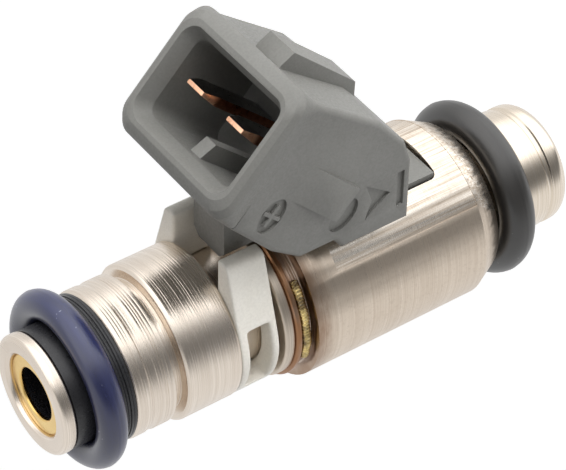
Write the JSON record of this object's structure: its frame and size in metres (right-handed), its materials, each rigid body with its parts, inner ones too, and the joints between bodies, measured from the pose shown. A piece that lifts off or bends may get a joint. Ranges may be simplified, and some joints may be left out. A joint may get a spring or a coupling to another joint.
{
  "type": "fuel injector",
  "caption": "Solenoid fuel injector: turned inlet with rail seal, plastic clip, round coil housing with a tilted two-blade socket, and a sealed nose holding a spring-loaded ball valve.",
  "frame": {"origin": "on the injector's axis, at the middle of the plain nose land that enters the manifold", "axes": "+Z along the axis towards the fuel inlet, +X the side the electrical socket leans to"},
  "size_m": [0.0318, 0.015, 0.0477],
  "materials": {
    "tube_steel": "turned stainless steel, satin",
    "spacer_plastic": "satin black",
    "inlet_rubber": "satin dark blue",
    "filter_brass": "satin",
    "filter_plastic": "satin black",
    "mesh_steel": "woven",
    "clip_plastic": "satin cream",
    "ring_steel": "satin",
    "cap_steel": "heat tinted near the weld",
    "weld_metal": "rippled weld",
    "housing_steel": "satin stainless steel",
    "nose_steel": "polished stainless steel",
    "seal_rubber": "satin black",
    "connector_plastic": "matt grey, fine grain",
    "blade_metal": "tin-plated copper alloy",
    "bobbin_plastic": "matt grey",
    "winding_copper": "enamelled copper wire",
    "spring_steel": "bright drawn wire"
  },
  "bodies": {
    "injector_body": {"inlet_tube": "tube_steel", "inlet_spacer": "spacer_plastic", "inlet_oring": "inlet_rubber", "filter_ring": "filter_brass", "filter_frame": "filter_plastic", "filter_mesh": "mesh_steel", "clip": "clip_plastic", "retaining_ring": "ring_steel", "end_cap": "cap_steel", "weld_bead": "weld_metal", "coil_housing": "housing_steel", "valve_body": "nose_steel", "nose_sleeve": "nose_steel", "valve_seat": "nose_steel", "orifice_plate": "nose_steel", "stem_guide": "nose_steel", "manifold_oring": "seal_rubber", "adjusting_tube": "ring_steel", "return_spring": "spring_steel", "core_sleeve": "ring_steel", "coil_bobbin": "bobbin_plastic", "coil_winding": "winding_copper", "flux_washer": "ring_steel", "terminal_plus": "blade_metal", "terminal_minus": "blade_metal", "connector_body": "connector_plastic"},
    "valve": {"armature": "ring_steel", "valve_stem": "nose_steel", "valve_ball": "nose_steel"}
  },
  "joints": [
    {"name": "valve_lift", "type": "slide", "parent": "injector_body", "child": "valve", "axis": [0, 0, 1], "range_m": [0, 0.00008], "stiffness_N_per_m": 3000, "springref_m": -0.001, "deforming": ["return_spring"]}
  ]
}
